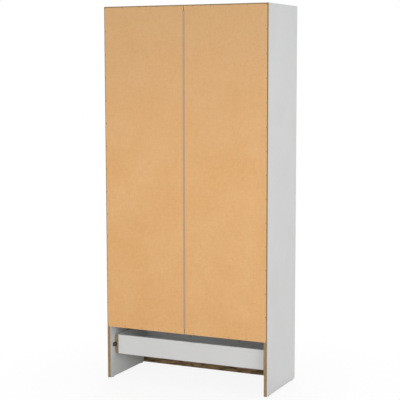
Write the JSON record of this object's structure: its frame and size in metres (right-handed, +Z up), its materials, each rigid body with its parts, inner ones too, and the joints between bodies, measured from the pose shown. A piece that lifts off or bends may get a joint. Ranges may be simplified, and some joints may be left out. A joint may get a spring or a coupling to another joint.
{
  "type": "wardrobe",
  "caption": "Tall shallow wardrobe with hinged doors over a wide drawer, flat inset fronts, bar handles and a hardboard back, standing on its side panels.",
  "frame": {"origin": "middle of the bottom of the overall box, on the floor between the side panels", "axes": "+Z up, -Y out of the front towards the person who opens the doors, +X to that person's right"},
  "size_m": [0.82, 0.389, 1.76],
  "materials": {
    "white_board": "white melamine faces over chipboard, low sheen",
    "hardboard": "smooth tan hardboard",
    "white_plastic": "plain moulded plastic",
    "strip_plastic": "plain extruded plastic, matt taupe",
    "dark_plastic": "moulded, satin",
    "beech": "turned beech",
    "zinc": "zinc plated",
    "satin_steel": "satin, brushed along the bar",
    "chrome": "bright",
    "magnet": "ferrite"
  },
  "bodies": {
    "cabinet": {"side_panel_left": "white_board", "side_panel_right": "white_board", "top_panel": "white_board", "bottom_panel": "white_board", "hat_shelf": "white_board", "plinth": "white_board", "back_panel_left": "hardboard", "back_panel_right": "hardboard", "magnetic_catches": "white_plastic", "rail_brackets": "white_plastic", "back_strip_upper": "strip_plastic", "back_strip_lower": "strip_plastic", "floor_glides": "dark_plastic", "drawer_runner_left": "dark_plastic", "drawer_runner_right": "dark_plastic", "rail_end_caps": "dark_plastic", "cabinet_dowels": "beech", "back_nails": "zinc", "cabinet_cam_bolts": "zinc", "cabinet_cams": "zinc", "runner_screws": "zinc", "catch_screws": "zinc", "rail_bracket_screws": "zinc", "hinge_frame_screws_left": "zinc", "hinge_frame_screws_right": "zinc", "hinge_frame_leaves_left": "zinc", "hinge_frame_leaves_right": "zinc", "hinge_pins_left": "zinc", "hinge_pins_right": "zinc", "hanging_rail_left": "chrome", "hanging_rail_right": "chrome", "catch_magnets": "magnet"},
    "door_left": {"door_left": "white_board", "door_handle_left": "satin_steel", "door_handle_screws_left": "zinc", "hinge_door_leaves_left": "zinc", "hinge_door_screws_left": "zinc", "strike_plates_left": "zinc", "strike_screws_left": "zinc"},
    "door_right": {"door_right": "white_board", "door_handle_right": "satin_steel", "door_handle_screws_right": "zinc", "hinge_door_leaves_right": "zinc", "hinge_door_screws_right": "zinc", "strike_plates_right": "zinc", "strike_screws_right": "zinc"},
    "drawer": {"drawer_front": "white_board", "drawer_side_left": "white_board", "drawer_side_right": "white_board", "drawer_back": "white_board", "drawer_bottom": "hardboard", "drawer_cam_bolts": "zinc", "drawer_cams": "zinc", "drawer_back_screws": "zinc", "drawer_handle_left": "satin_steel", "drawer_handle_right": "satin_steel", "drawer_handle_screws": "zinc"}
  },
  "joints": [
    {"name": "door_left_hinge", "type": "hinge", "parent": "cabinet", "child": "door_left", "pos_m": [-0.3925, -0.16795, 1.007], "axis": [0, 0, -1], "range_deg": [0, 170]},
    {"name": "door_right_hinge", "type": "hinge", "parent": "cabinet", "child": "door_right", "pos_m": [0.3925, -0.16795, 1.007], "axis": [0, 0, 1], "range_deg": [0, 170]},
    {"name": "drawer_slide", "type": "slide", "parent": "cabinet", "child": "drawer", "axis": [0, -1, 0], "range_m": [0, 0.22]}
  ]
}
